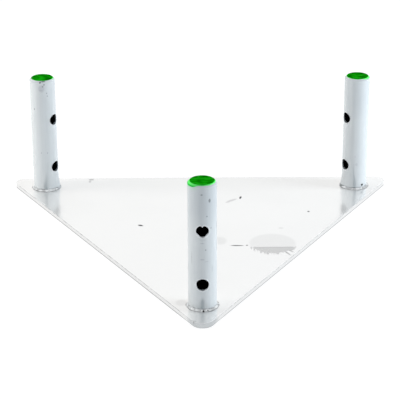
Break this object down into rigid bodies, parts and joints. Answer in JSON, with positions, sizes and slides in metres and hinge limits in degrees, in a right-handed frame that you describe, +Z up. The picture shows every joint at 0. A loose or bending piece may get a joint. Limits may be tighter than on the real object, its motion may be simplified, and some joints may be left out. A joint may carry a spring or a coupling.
{
  "type": "tower base plate",
  "caption": "Triangular steel base plate with rounded corners and upright round stub legs, each cross-drilled, that locate and bolt the legs of a lattice tower.",
  "frame": {"origin": "centre of the plate's bore, on the underside", "axes": "+Z up; the front leg stands at -Y and the rear edge runs along X"},
  "size_m": [0.3826, 0.334, 0.1238],
  "materials": {
    "plate": "hot-dip galvanised, bright",
    "leg": "hot-dip galvanised, bright, tip painted green",
    "weld": "galvanised weld bead"
  },
  "bodies": {
    "root": {"base_plate": "plate", "leg_front": "leg", "leg_right": "leg", "leg_left": "leg", "weld_front": "weld", "weld_right": "weld", "weld_left": "weld"}
  },
  "joints": []
}
